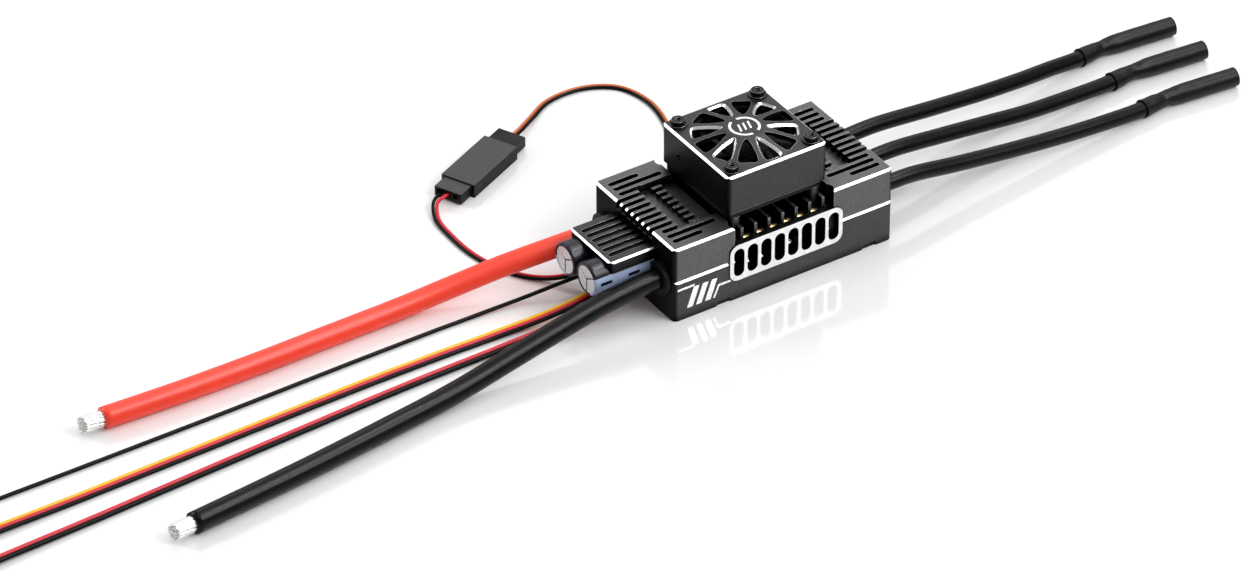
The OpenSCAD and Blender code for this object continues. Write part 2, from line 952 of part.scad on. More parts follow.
module positive_lead() {
    color([1, 0.3, 0.22])
        lead(positive_route, battery_d, battery_d, thick_sides);
}

module negative_lead() {
    color([0.06, 0.06, 0.06])
        lead(negative_route, battery_d, battery_d, thick_sides);
}

// Bare strands beyond the last point of a route
module strands(route) {
    end = route[len(route) - 1];
    t = heading(route, len(route) - 1);
    color([0.85, 0.85, 0.85])
    translate(end)
        rotate([0, 90, atan2(t[1], t[0])])
            cylinder(h = strand_l, r = strand_r);
}

module positive_strands() {
    strands(positive_route);
}

module negative_strands() {
    strands(negative_route);
}

// Children drawn along +Z are laid along the floor at a neck point
module at_neck(i, turn) {
    translate([neck_points[i][0], neck_points[i][1], socket_z])
        rotate([0, 90, turn])
            children();
}

// Where a motor wire enters its sleeve, and where it ends inside
function sleeve_point(i, back) = [
    neck_points[i][0] - back * cos(sleeve_turn),
    neck_points[i][1] - back * sin(sleeve_turn),
    socket_z
];

module motor_lead(i) {
    color([0.06, 0.06, 0.06])
        lead(concat(motor_routes[i],
                    [sleeve_point(i, sleeve_l + 1), sleeve_point(i, taper_l / 2)]),
             motor_d, motor_d, thick_sides);
}

module heat_shrink(i) {
    color([0.1, 0.1, 0.1])
    union() {
        at_neck(i, sleeve_turn)
            rotate_extrude()
                polygon([[motor_d / 2, -sleeve_l], [sleeve_r, -sleeve_l],
                         [sleeve_r, -taper_l / 4], [neck_r[0], neck_l], [0, neck_l],
                         [0, -taper_l / 2], [motor_d / 2, -taper_l / 2]]);
        at_neck(i, socket_turn)
            rotate_extrude()
                polygon([[0, -neck_l], [neck_r[1], -neck_l], [shrink_r, taper_l],
                         [shrink_r, socket_l], [shrink_r - shrink_t, socket_l],
                         [shrink_r - shrink_t, taper_l], [0, taper_l]]);
    }
}

module motor_socket(i) {
    color([0.85, 0.65, 0.25])
    at_neck(i, socket_turn)
        translate([0, 0, taper_l])
            difference() {
                cylinder(h = socket_l - taper_l - socket_inset, r = shrink_r - shrink_t);
                translate([0, 0, socket_l - taper_l - socket_inset - socket_depth])
                    cylinder(h = case_h, r = socket_bore_d / 2);
            }
}

module motor_lead_a() { motor_lead(0); }
module motor_lead_b() { motor_lead(1); }
module motor_lead_c() { motor_lead(2); }
module heat_shrink_a() { heat_shrink(0); }
module heat_shrink_b() { heat_shrink(1); }
module heat_shrink_c() { heat_shrink(2); }
module motor_socket_a() { motor_socket(0); }
module motor_socket_b() { motor_socket(1); }
module motor_socket_c() { motor_socket(2); }

// ---- Fan connector and small leads ----

module at_join() {
    translate([join_at[0], join_at[1], 0])
        rotate(join_turn)
            children();
}

module fan_lead() {
    color([0.85, 0.42, 0.2])
        lead(fan_route, pair_w, pair_h, thin_sides);
}

module fan_supply_lead() {
    color([0.75, 0.1, 0.12])
        lead(supply_route, pair_w, pair_h, thin_sides);
}

module fan_plug_shroud() {
    color([0.2, 0.2, 0.2])
    at_join()
        difference() {
            union() {
                box(-join_size[0] / 2, join_size[0] / 2, -join_size[1] / 2,
                    join_size[1] / 2, 0, join_size[2]);
                box(-join_size[0] / 2 - tail_size[0], 0, -tail_size[1] / 2,
                    tail_size[1] / 2, 0.5, 0.5 + tail_size[2]);
            }
            box(join_size[0] / 2 - plug_in, join_size[0], -tail_size[1] / 2,
                tail_size[1] / 2, 0.5, 0.5 + tail_size[2]);
            for (k = [-1 : 1])
                box(-join_size[0], tail_slot[0] - join_size[0] / 2 - tail_size[0],
                    k * pin_pitch - tail_slot[1] / 2, k * pin_pitch + tail_slot[1] / 2,
                    2 - tail_slot[2] / 2, 2 + tail_slot[2] / 2);
        }
}

module fan_plug() {
    color([0.12, 0.12, 0.12])
    at_join()
        difference() {
            box(join_size[0] / 2 - plug_in, join_size[0] / 2 + plug_out,
                -tail_size[1] / 2, tail_size[1] / 2, 0.5, 0.5 + tail_size[2]);
            for (k = [-1 : 1])
                box(0, join_size[0] / 2 - 2, k * pin_pitch - pin_hole / 2,
                    k * pin_pitch + pin_hole / 2, 2 - pin_hole / 2, 2 + pin_hole / 2);
        }
}

module fan_plug_contacts() {
    color([0.8, 0.65, 0.3])
    at_join()
        for (k = [-1 : 1])
            box(0, join_size[0] / 2 - 3.5, k * pin_pitch - pin_hole / 2,
                k * pin_pitch + pin_hole / 2, 2 - pin_hole / 2, 2 + pin_hole / 2);
}

module telemetry_lead() {
    color([0.08, 0.08, 0.08])
        lead(telemetry_route, wire_d, wire_d, thin_sides);
}

module throttle_lead() {
    color([0.9, 0.75, 0.15])
        lead(throttle_route, triple_w, triple_h, thin_sides);
}

module bec_lead() {
    color([0.75, 0.1, 0.15])
        lead(bec_route, twin_w, twin_h, thin_sides);
}

// Plug at the end of a route, with contact holes in its far face
module end_plug(route, size, holes) {
    end = route[len(route) - 1];
    t = heading(route, len(route) - 1);
    color([0.1, 0.1, 0.1])
    translate([end[0], end[1], 0])
        rotate(atan2(t[1], t[0]))
            difference() {
                box(0, size[0], -size[1] / 2, size[1] / 2, 0, size[2]);
                for (k = [0 : holes - 1])
                    translate([size[0] - 7, (k - (holes - 1) / 2) * pin_pitch - pin_hole / 2,
                               (size[2] - pin_hole) / 2])
                        cube([size[0], pin_hole, pin_hole]);
            }
}

module telemetry_plug() { end_plug(telemetry_route, mini_plug_size, 1); }
module throttle_plug() { end_plug(throttle_route, plug_size, 3); }
module bec_plug() { end_plug(bec_route, plug_size, 3); }

heatsink();
lower_case();
bottom_cover();
case_screws();
vent_frame_front();
vent_frame_rear();
heat_spreader_bars();
power_board();
control_board();
board_pins();
mosfets();
controller_chip();
thermal_pad();
battery_lugs();
motor_lugs();
positive_grommet();
negative_grommet();
motor_lead_seals();
lead_gland();
capacitor_cans();
capacitor_sleeves();
capacitor_bungs();
capacitor_pins();
capacitor_cover();
fan_cover();
fan_screws();
fan_washers();
fan_frame();
fan_bearing();
fan_stator();
fan_board();
fan_shaft();
fan_magnet();
fan_impeller();
positive_lead();
negative_lead();
positive_strands();
negative_strands();
motor_lead_a();
motor_lead_b();
motor_lead_c();
heat_shrink_a();
heat_shrink_b();
heat_shrink_c();
motor_socket_a();
motor_socket_b();
motor_socket_c();
fan_lead();
fan_plug();
fan_plug_shroud();
fan_plug_contacts();
fan_supply_lead();
telemetry_lead();
telemetry_plug();
throttle_lead();
throttle_plug();
bec_lead();
bec_plug();
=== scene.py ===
"""Looks of the fan-cooled speed controller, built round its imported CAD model.

+X points to the motor leads, +Y to the rear and +Z up, as in the model. Shapes are in millimetres, turned into
metres by MM. Lights, and the sizes in materials, are in metres.
"""

import math
import random

import bmesh
import bpy
from mathutils import Matrix, Vector, noise


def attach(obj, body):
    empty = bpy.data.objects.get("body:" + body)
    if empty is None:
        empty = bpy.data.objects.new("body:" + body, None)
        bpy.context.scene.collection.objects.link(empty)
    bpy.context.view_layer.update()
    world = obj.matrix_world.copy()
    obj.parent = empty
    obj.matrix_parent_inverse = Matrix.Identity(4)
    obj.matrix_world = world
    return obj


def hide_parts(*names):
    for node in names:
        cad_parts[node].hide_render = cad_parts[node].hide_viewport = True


MM = 0.001
CASE = "controller"  # the body that every piece rides on
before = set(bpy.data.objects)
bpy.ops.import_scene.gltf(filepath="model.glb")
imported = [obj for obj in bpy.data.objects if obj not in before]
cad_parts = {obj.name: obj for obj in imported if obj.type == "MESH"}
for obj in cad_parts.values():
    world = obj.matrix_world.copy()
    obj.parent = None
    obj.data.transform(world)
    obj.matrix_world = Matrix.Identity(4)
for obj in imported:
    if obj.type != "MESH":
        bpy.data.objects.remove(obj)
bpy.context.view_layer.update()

# ---- Camera, light and floor ----

AZIMUTH, ELEVATION = math.radians(33.284), math.radians(35.829)
LOOK_AT = Vector((0, 0, 11))
LOOK_OFFSET = (-29.98, -19.93)  # how far the camera's own centre line passes to the right of and above LOOK_AT
DISTANCE = 1900
LENS = 206.7
SENSOR = 36

LIT_PLACE = Vector((0, 0, 0.01))
AREA_LIGHTS = [  # name, place, width and height, power in watts
    ("key", (0.52, -0.74, 0.85), (0.7, 0.5), 7),
    ("rim", (-0.7, 0.8, 0.55), (0.5, 0.4), 4),
    ("card", (0.62, 0.94, 0.81), (1.1, 0.9), 3.4),
]
STRIP_LIGHT = ("strip", (0.45, -0.2, 1.05), (1.4, 0.1), 8)
SUN_STRENGTH, SUN_SPREAD, SUN_TURN = 0.9, math.radians(70), (math.radians(8), math.radians(12), 0)
WORLD_STRENGTH = 0.42

FLOOR_HALF = 6
FLOOR_DROP = 0.00005  # keeps the floor just under the lowest faces


def camera():
    """The photograph's own viewpoint."""
    ahead = Vector((math.sin(AZIMUTH) * math.cos(ELEVATION), math.cos(AZIMUTH) * math.cos(ELEVATION),
                    -math.sin(ELEVATION)))
    right = ahead.cross(Vector((0, 0, 1))).normalized()
    up = right.cross(ahead)
    data = bpy.data.cameras.new("camera")
    data.lens = LENS
    data.sensor_width = SENSOR
    data.clip_start = 0.05
    data.clip_end = 20
    cam = bpy.data.objects.new("camera", data)
    bpy.context.collection.objects.link(cam)
    cam.location = (LOOK_AT + right * LOOK_OFFSET[0] + up * LOOK_OFFSET[1] - ahead * DISTANCE) * MM
    cam.rotation_euler = ahead.to_track_quat("-Z", "Y").to_euler()
    bpy.context.scene.camera = cam


def area_light(name, place, size, power):
    data = bpy.data.lights.new(name, "AREA")
    data.shape = "RECTANGLE"
    data.size, data.size_y = size
    data.energy = power
    light = bpy.data.objects.new(name, data)
    bpy.context.collection.objects.link(light)
    light.location = place
    light.rotation_euler = (LIT_PLACE - Vector(place)).to_track_quat("-Z", "Y").to_euler()
    return light


def studio():
    """Soft lights all round, and a strip that only draws the thin highlight along the glossy leads."""
    for light in AREA_LIGHTS:
        area_light(*light)
    area_light(*STRIP_LIGHT).visible_diffuse = False
    sun = bpy.data.lights.new("overhead", "SUN")
    sun.energy = SUN_STRENGTH
    sun.angle = SUN_SPREAD
    lamp = bpy.data.objects.new("overhead", sun)
    bpy.context.collection.objects.link(lamp)
    lamp.rotation_euler = SUN_TURN
    world = bpy.data.worlds.new("studio")
    bpy.context.scene.world = world
    world.use_nodes = True
    background = world.node_tree.nodes["Background"].inputs
    background["Color"].default_value = (1, 1, 1, 1)
    background["Strength"].default_value = WORLD_STRENGTH
    bpy.context.scene.view_settings.view_transform = "Standard"


def lay_floor():
    bm = bmesh.new()
    bmesh.ops.create_grid(bm, x_segments=2, y_segments=2, size=FLOOR_HALF)
    mesh = bpy.data.meshes.new("floor")
    bm.to_mesh(mesh)
    bm.free()
    mesh.materials.append(pale_floor())
    floor = bpy.data.objects.new("floor", mesh)
    floor.location.z = -FLOOR_DROP
    bpy.context.collection.objects.link(floor)


# ---- Node graphs ----


class Graph:
    """A material's node tree. Each call adds a node, with values or other nodes' outputs on its inputs."""

    def __init__(self, name):
        self.material = bpy.data.materials.new(name)
        self.material.use_nodes = True
        self.tree = self.material.node_tree
        self.shader = self.tree.nodes["Principled BSDF"]

    def put(self, socket, value):
        if isinstance(value, bpy.types.NodeSocket):
            self.tree.links.new(value, socket)
        else:
            socket.default_value = value

    def add(self, kind, inputs=(), out=0, **settings):
        made = self.tree.nodes.new("ShaderNode" + kind)
        for key, value in settings.items():
            setattr(made, key, value)
        for key, value in dict(inputs).items():
            self.put(made.inputs[key], value)
        return made.outputs[out]

    def place(self):
        return self.add("TexCoord", out="Object")

    def noise(self, scale, detail=2.0, rough=0.5):
        inputs = {"Vector": self.place(), "Scale": scale, "Detail": detail, "Roughness": rough}
        return self.add("TexNoise", inputs)

    def math(self, operation, a, b=0.0, c=0.0):
        return self.add("Math", {0: a, 1: b, 2: c}, operation=operation)

    def span(self, value, low, high, to_low=0.0, to_high=1.0):
        """Stretches low to high over to_low to to_high, and holds the ends."""
        inputs = {"Value": value, "From Min": low, "From Max": high, "To Min": to_low, "To Max": to_high}
        return self.add("MapRange", inputs)

    def mix(self, factor, a, b):
        return self.add("Mix", {0: factor, 6: a, 7: b}, out=2, data_type="RGBA")

    def bump(self, height, strength, distance=0.00002, rounding=0.0):
        """Surface relief, over edges that look rounded by a radius of rounding."""
        inputs = {"Height": height, "Strength": strength, "Distance": distance}
        if rounding:
            inputs["Normal"] = self.add("Bevel", {"Radius": rounding}, samples=6)
        return self.add("Bump", inputs)

    def edge_wear_and_highlight(self, radius):
        """1 along convex and concave edges, fading to 0 a radius away; the paler edges it draws are partly wear and
        partly painted highlight.
        """
        soft = self.add("Bevel", {"Radius": radius}, samples=8)
        inputs = {0: soft, 1: self.add("NewGeometry", out="Normal")}
        turn = self.add("VectorMath", inputs, out="Value", operation="DOT_PRODUCT")
        return self.span(turn, 0.985, 0.9)

    def shade(self, **inputs):
        """Sets the shader's own inputs, with _ for a space in their names, and gives back the material."""
        for key, value in inputs.items():
            self.put(self.shader.inputs[key.replace("_", " ")], value)
        return self.material


def rgb(text):
    """A hex colour as the shader's linear numbers."""
    parts = [int(text[i : i + 2], 16) / 255 for i in (0, 2, 4)]
    return tuple(c / 12.92 if c < 0.04045 else ((c + 0.055) / 1.055) ** 2.4 for c in parts) + (1.0,)


def tinted(colour, factor):
    return tuple(c * factor for c in colour[:3]) + (1.0,)


def anodised(name, tone, rough, ends=0.22, rake=1.0, front_cut=False):
    """Bead-blasted anodised aluminium, paler along its edges, partly wear and partly painted highlight.

    Painted shade darkens it deep in its grooves and recesses, and on its end faces. It is machined bright on its 45
    degree edge cuts, or on its front and rear faces with front_cut. ends is how much of the tone its end faces
    keep under that painted shade, and rake how much of their raking shine.
    """
    g = Graph(name)
    normal = g.add("NewGeometry", out="True Normal")
    x, y, z = (g.math("ABSOLUTE", g.add("SeparateXYZ", {"Vector": normal}, out=axis)) for axis in "XYZ")
    if front_cut:
        cut = g.math("GREATER_THAN", y, 0.9)
    else:
        sloping = g.math("COMPARE", z, 0.7071, 0.06)
        off_corners = g.math("LESS_THAN", g.math("MULTIPLY", x, y), 0.12)
        cut = g.math("MULTIPLY", sloping, off_corners)
    # Painted shade: faces turned along X keep only part of the tone and of their raking shine, as if in shadow.
    shaded_end_face = g.span(x, 0.15, 0.6)
    patchy = g.span(g.noise(700, 2), 0.2, 0.5, 0.4, 1.0)
    wear_and_highlight = g.math("MULTIPLY", g.edge_wear_and_highlight(0.00022), patchy)
    # Painted shade: ambient occlusion darkens the tone towards black deep in grooves and recesses.
    groove_shade_ao = g.add("AmbientOcclusion", {"Distance": 0.004}, out="AO", samples=8)
    cloud = g.noise(55, 3)
    dust = g.span(g.noise(800, 4, 0.7), 0.62, 0.75)
    speckle = g.span(g.noise(1500, 2, 0.6), 0.35, 0.65)
    body = g.mix(cloud, tinted(tone, 0.9), tinted(tone, 1.15))
    body = g.mix(g.math("MULTIPLY", speckle, 0.5), body, tinted(tone, 1.45))
    body = g.mix(g.math("MULTIPLY", dust, 0.35), body, tinted(tone, 2.2))
    # Paler edges: partly wear, partly painted highlight.
    body = g.mix(g.math("MULTIPLY", wear_and_highlight, 0.75), body, rgb("C4C5C8"))
    # Painted shade on the end faces.
    body = g.mix(shaded_end_face, body, tinted(tone, ends))
    # Painted shade: nearly black where ambient occlusion finds a groove or recess.
    body = g.mix(g.span(groove_shade_ao, 0.45, 0.9, 0.02, 1.0), tinted(tone, 0.03), body)
    streak = g.span(g.noise(500, 2), 0.3, 0.7, 0.85, 1.0)
    silver = {0: 1.0, 6: rgb("F4F5F6"), 7: streak}
    bright = g.add("Mix", silver, out=2, data_type="RGBA", blend_type="MULTIPLY")
    blasted = g.span(cloud, 0.3, 0.7, rough - 0.04, rough + 0.06)
    return g.shade(Base_Color=g.mix(cut, body, bright),
                   Metallic=1.0,
                   # painted shade: weaker raking shine on the end faces
                   Specular_Tint=g.mix(shaded_end_face, (1, 1, 1, 1), (rake, rake, rake, 1)),
                   Roughness=g.span(cut, 0, 1, blasted, 0.4),
                   Normal=g.bump(g.noise(2600, 2, 0.7), 0.2, rounding=0.00012))


def plastic(name, colour, rough=0.4, grain=1500, depth=0.2, rounding=0.00015, coat=0.0, gloss=0.5,
            lit_top=None):
    """Moulded plastic with a fine skin and slightly soft edges. top is painted light: a paler upper-face tone."""
    g = Graph(name)
    cloud = g.noise(90, 3)
    skin = g.noise(grain, 3, 0.6)
    body = g.mix(cloud, tinted(colour, 0.85), tinted(colour, 1.15))
    # Painted light: faces turned upwards take the paler top tone.
    if lit_top:
        up = g.add("SeparateXYZ", {"Vector": g.add("NewGeometry", out="Normal")}, out="Z")
        body = g.mix(g.math("GREATER_THAN", up, 0.9), body, g.mix(cloud, tinted(lit_top, 0.92), tinted(lit_top, 1.08)))
    return g.shade(Base_Color=body,
                   Roughness=g.span(g.noise(260, 3), 0.3, 0.7, rough - 0.06, rough + 0.08),
                   Specular_IOR_Level=gloss,
                   Coat_Weight=coat,
                   Normal=g.bump(skin, depth, rounding=rounding))


def rubber(name, colour, rough, rounding=0.0, gloss=0.15, skin=0.12):
    """Soft silicone, rubber or heat shrink, with a little dust. skin is how strong its grain is."""
    g = Graph(name)
    cloud = g.noise(120, 4, 0.6)
    dust = g.span(g.noise(1400, 3, 0.7), 0.62, 0.74, 0.0, 0.03)
    body = g.mix(cloud, tinted(colour, 0.88), tinted(colour, 1.1))
    pale = tuple(0.75 * c + 0.15 for c in colour[:3]) + (1.0,)
    return g.shade(Base_Color=g.mix(dust, body, pale),
                   Roughness=g.span(g.noise(300, 3), 0.3, 0.7, rough - 0.03, rough + 0.03),
                   Specular_IOR_Level=gloss,
                   Normal=g.bump(g.noise(1100, 4, 0.65), skin, rounding=rounding))


def metal(name, colour, rough=0.3, grain=1800, full=1.0, edge=0.0):
    """Bare or plated metal with fine scratches. full is its metallic share, and edge how much paler its edges are,
    partly wear and partly painted highlight.
    """
    g = Graph(name)
    cloud = g.noise(150, 3)
    scratch = g.noise(grain, 3, 0.7)
    body = g.mix(cloud, tinted(colour, 0.88), tinted(colour, 1.08))
    if edge:
        # Paler edges: partly wear, partly painted highlight.
        body = g.mix(g.math("MULTIPLY", g.edge_wear_and_highlight(0.00015), edge), body, rgb("C8C8CA"))
    return g.shade(Base_Color=body,
                   Metallic=full,
                   Roughness=g.span(scratch, 0.3, 0.7, rough - 0.08, rough + 0.1),
                   Normal=g.bump(scratch, 0.15, rounding=0.0001))


def board(name):
    """Green solder mask over copper tracks."""
    g = Graph(name)
    greens = {"Color1": rgb("123A1E"), "Color2": rgb("17482A"), "Mortar": rgb("2A6A3C")}
    tracks = g.add("TexBrick", {"Vector": g.place(), "Scale": 300, "Mortar Size": 0.03, **greens})
    return g.shade(Base_Color=tracks,
                   Roughness=g.span(g.noise(400), 0.3, 0.7, 0.25, 0.4),
                   Coat_Weight=0.3,
                   Normal=g.bump(g.noise(900), 0.15, 0.00003))


def pale_floor():
    """Glossy enough for a faint mirror image of the object."""
    g = Graph("pale_floor")
    tone = g.mix(g.noise(3, 2), (0.93, 0.93, 0.93, 1), (0.95, 0.95, 0.95, 1))
    return g.shade(Base_Color=tone, Roughness=0.1, IOR=1.6)


# Painted shade: the case's end faces keep less of their tone and raking shine than the default.
CASE_METAL = anodised("case_metal", rgb("5C5C5E"), 0.45, ends=0.1, rake=0.6)
COVER_METAL = anodised("cover_metal", rgb("3E3E40"), 0.4)
LOWER_METAL = anodised("lower_metal", rgb("484849"), 0.45)
BRIGHT = metal("bright_cut", rgb("EEEFF1"), 0.25)
VENT_METAL = anodised("vent_metal", rgb("2C2C2E"), 0.4, front_cut=True)
BLACK_PLASTIC = plastic("black_plastic", rgb("090909"), 0.38, gloss=0.18)
# Painted light: paler upper faces over near-black sides.
GREY_PLASTIC = plastic("grey_plastic", rgb("0A0A0A"), 0.4, gloss=0.15, lit_top=rgb("4A484A"))
BLACK_RUBBER = rubber("black_rubber", rgb("0C0C0C"), 0.5, rounding=0.0003)
RED_SILICONE = rubber("red_silicone", rgb("FF442E"), 0.34, gloss=0.4, skin=0.03)
BLACK_SILICONE = rubber("black_silicone", rgb("050505"), 0.26, gloss=0.17, skin=0.01)
SHRINK = rubber("heat_shrink", rgb("0E0E0F"), 0.36, gloss=0.18, skin=0.04)
TINNED = metal("tinned_wire", rgb("E6E6E4"), 0.3)
GOLD = metal("gold_plate", rgb("E2B866"), 0.25)
BRASS = metal("brass", rgb("DCC08C"), 0.3)
COPPER = metal("copper_winding", rgb("B8703C"), 0.35, grain=4000)
STEEL = metal("steel", rgb("C6C7CA"), 0.3)
# Its paler edges round the heads and washers are partly wear, partly painted highlight.
BLACK_STEEL = metal("black_steel", rgb("262628"), 0.32, edge=0.7)
CAN = metal("can_aluminium", rgb("DDE4E8"), 0.42, full=0.3)
NAVY = plastic("navy_sleeve", rgb("0B0E1C"), 0.3, grain=700, depth=0.08, rounding=0.0, coat=0.1, gloss=0.3)
STRIPE = plastic("stripe_blue", rgb("A9B9DC"), 0.3, grain=700, depth=0.08, rounding=0.0, coat=0.1)
ORANGE_WIRE = plastic("orange_wire", rgb("D06A38"), 0.38, grain=1200, rounding=0.0, gloss=0.3)
RED_WIRE = plastic("red_wire", rgb("D81E34"), 0.35, grain=1200, rounding=0.0, gloss=0.3)
BLACK_WIRE = plastic("black_wire", rgb("060606"), 0.3, grain=1200, rounding=0.0, gloss=0.1)
YELLOW_WIRE = plastic("yellow_wire", rgb("F0C020"), 0.35, grain=1200, rounding=0.0, gloss=0.3)
CHIP = plastic("chip_plastic", rgb("202022"), 0.5)
PAD = rubber("thermal_pad", rgb("9A9AA4"), 0.7)
MAGNET = metal("magnet", rgb("3C3C3E"), 0.5)
BOARD = board("circuit_board")

PAINT = {  # the model's own nodes that are seen as they are
    "heatsink": CASE_METAL, "fan_cover": COVER_METAL, "capacitor_cover": COVER_METAL, "lower_case": LOWER_METAL,
    "bottom_cover": BLACK_PLASTIC, "case_screws": STEEL, "vent_frame_front": VENT_METAL,
    "vent_frame_rear": VENT_METAL, "heat_spreader_bars": BRASS, "power_board": BOARD, "control_board": BOARD,
    "board_pins": GOLD, "mosfets": CHIP, "controller_chip": CHIP, "thermal_pad": PAD, "battery_lugs": COPPER,
    "motor_lugs": COPPER, "positive_grommet": BLACK_RUBBER, "negative_grommet": BLACK_RUBBER,
    "motor_lead_seals": BLACK_RUBBER, "lead_gland": BLACK_RUBBER, "capacitor_bungs": BLACK_RUBBER,
    "capacitor_pins": STEEL, "fan_screws": BLACK_STEEL, "fan_washers": BLACK_STEEL, "fan_frame": BLACK_PLASTIC,
    "fan_bearing": BRASS, "fan_stator": COPPER, "fan_board": BOARD, "fan_shaft": STEEL, "fan_magnet": MAGNET,
    "fan_impeller": BLACK_PLASTIC, "motor_socket_a": GOLD, "motor_socket_b": GOLD, "motor_socket_c": GOLD,
    "fan_plug": BLACK_PLASTIC, "fan_plug_shroud": GREY_PLASTIC, "fan_plug_contacts": GOLD,
    "telemetry_plug": BLACK_PLASTIC, "throttle_plug": BLACK_PLASTIC, "bec_plug": BLACK_PLASTIC,
}

# ---- Mesh helpers ----


def finish_piece(name, bm, materials, stands_for=(), smooth=True):
    """Turns a bmesh in millimetres into a piece that rides on the case."""
    bmesh.ops.recalc_face_normals(bm, faces=bm.faces)
    bmesh.ops.scale(bm, vec=(MM, MM, MM), verts=bm.verts)
    for face in bm.faces:
        face.smooth = smooth
    mesh = bpy.data.meshes.new(name)
    bm.to_mesh(mesh)
    bm.free()
    for material in materials:
        mesh.materials.append(material)
    piece = bpy.data.objects.new(name, mesh)
    bpy.context.collection.objects.link(piece)
    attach(piece, CASE)
    if stands_for:
        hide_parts(*stands_for)
    return piece


def smooth_route(points):
    """Points close together on one smooth curve through the given points, never under the lowest of them."""
    step = 1.6
    p = [Vector(q) for q in points]
    p = [2 * p[0] - p[1]] + p + [2 * p[-1] - p[-2]]
    line = [p[1]]
    for a, b, c, d in zip(p, p[1:], p[2:], p[3:]):
        ta = 0.0
        tb = ta + max((b - a).length, 1e-6) ** 0.5
        tc = tb + (c - b).length ** 0.5
        td = tc + max((d - c).length, 1e-6) ** 0.5
        count = max(2, round((c - b).length / step))
        for i in range(1, count + 1):
            t = tb + (tc - tb) * i / count
            ab = a.lerp(b, (t - ta) / (tb - ta))
            bc = b.lerp(c, (t - tb) / (tc - tb))
            cd = c.lerp(d, (t - tc) / (td - tc))
            abc = ab.lerp(bc, (t - ta) / (tc - ta))
            bcd = bc.lerp(cd, (t - tb) / (td - tb))
            line.append(abc.lerp(bcd, (t - tb) / (tc - tb)))
    lowest = min(q[2] for q in points)
    for q in line:
        q.z = max(q.z, lowest)
    return line


def route_length(line):
    return sum((b - a).length for a, b in zip(line, line[1:]))


def carried_frames(line):
    """(point, side, up, distance) at each point: level stretches lie flat, steep ones keep their turn."""
    steep = 0.8
    up = Vector((0, 0, 1))
    run = 0.0
    frames = []
    for i, point in enumerate(line):
        ahead = (line[min(i + 1, len(line) - 1)] - line[max(i - 1, 0)]).normalized()
        if abs(ahead.z) < steep:
            up = Vector((0, 0, 1))
        up = (up - ahead * up.dot(ahead)).normalized()
        if i:
            run += (point - line[i - 1]).length
        frames.append((point, ahead.cross(up), up, run))
    return frames


def add_tube(bm, line, radius, shift=0.0, sides=20, index=0, caps=True):
    """A tube along the line, shift to the side of it.

    radius is a number or a function of (distance, angle), and shift a number or a function of (distance).
    """
    rings = []
    for point, side, up, run in carried_frames(line):
        ring = []
        for k in range(sides):
            angle = 2 * math.pi * k / sides
            r = radius(run, angle) if callable(radius) else radius
            x = (shift(run) if callable(shift) else shift) + r * math.cos(angle)
            ring.append(bm.verts.new(point + side * x + up * (r * math.sin(angle))))
        rings.append(ring)
    for low, high in zip(rings, rings[1:]):
        for face in join_rings(bm, low, high):
            face.material_index = index
    if caps:
        for ring in (rings[0][::-1], rings[-1]):
            bm.faces.new(ring).material_index = index
    return rings


def join_rings(bm, low, high):
    """One band of four-cornered faces between two rings of as many points."""
    count = len(low)
    turned = [(k, (k + 1) % count) for k in range(count)]
    return [bm.faces.new((low[k], low[n], high[n], high[k])) for k, n in turned]


def add_lathe(bm, profile, matrix, sides, colour=None):
    """Revolves (radius, height) points about the matrix's Z. colour gives a face's material by (row, side)."""
    turns = [2 * math.pi * k / sides for k in range(sides)]
    rings = []
    for radius, height in profile:
        circle = [Vector((radius * math.cos(a), radius * math.sin(a), height)) for a in turns]
        rings.append([bm.verts.new(matrix @ point) for point in circle])
    for row, (low, high) in enumerate(zip(rings, rings[1:])):
        for k, face in enumerate(join_rings(bm, low, high)):
            face.material_index = colour(row, k) if colour else 0
    return rings


def along(direction, origin):
    """A matrix whose Z runs along the direction."""
    return Matrix.Translation(origin) @ Vector(direction).to_track_quat("Z", "Y").to_matrix().to_4x4()


# ---- Leads ----

# The routes are the model's own points, each listed from where its lead leaves the controller.
POSITIVE_ROUTE = [(-31, 13, 11.2), (-38, 13, 11.2), (-49, 14.3, 10.4), (-64, 17.8, 7.7), (-78, 20.4, 5),
                  (-93, 21.7, 3.3), (-112, 21.9, 2.95), (-135, 21.7, 2.95), (-159, 22.1, 2.95), (-181, 23.2, 2.95)]
NEGATIVE_ROUTE = [(-31, -13, 11.2), (-38, -13, 11.2), (-53, -13.4, 10), (-69, -14.5, 7.8), (-85, -15.9, 5.5),
                  (-99, -17.3, 3.7), (-113, -18.9, 2.95), (-129, -21.1, 2.95), (-152, -24, 2.95),
                  (-184, -27.2, 2.95)]
MOTOR_ROUTES = [
    [(31, 11.8, 12.4), (38, 11.8, 12.4), (50, 12.6, 12.1), (69, 13.4, 9.9), (87, 14.6, 7.6), (102, 16.4, 5.5),
     (113, 18.1, 4)],
    [(31, 0, 12.4), (38, 0, 12.4), (48, 0.6, 12.1), (65, 1.6, 9.7), (80, 2.4, 7.4), (94, 3, 5.4), (107, 4, 4)],
    [(31, -11.8, 12.4), (38, -11.8, 12.4), (46, -11.6, 12), (60, -11.4, 9.7), (77, -11.2, 7.3), (92, -10.9, 5.4),
     (106, -10.6, 4)],
]
NECKS = [(131.5, 20.3), (131.7, 6.2), (131, -8.9)]  # where each motor sleeve grips the back of its socket
SLEEVE_TURN, SOCKET_TURN = math.radians(6), math.radians(-5)
SLEEVE_BACK, SOCKET_LENGTH, SOCKET_Z = 7.5, 23, 2.65
BATTERY_LEAD, MOTOR_LEAD = 5.9, 4.35
FAN_WIRE, TELEMETRY_WIRE, THROTTLE_WIRE, BEC_WIRE = 0.95, 1.1, 1.15, 1.35
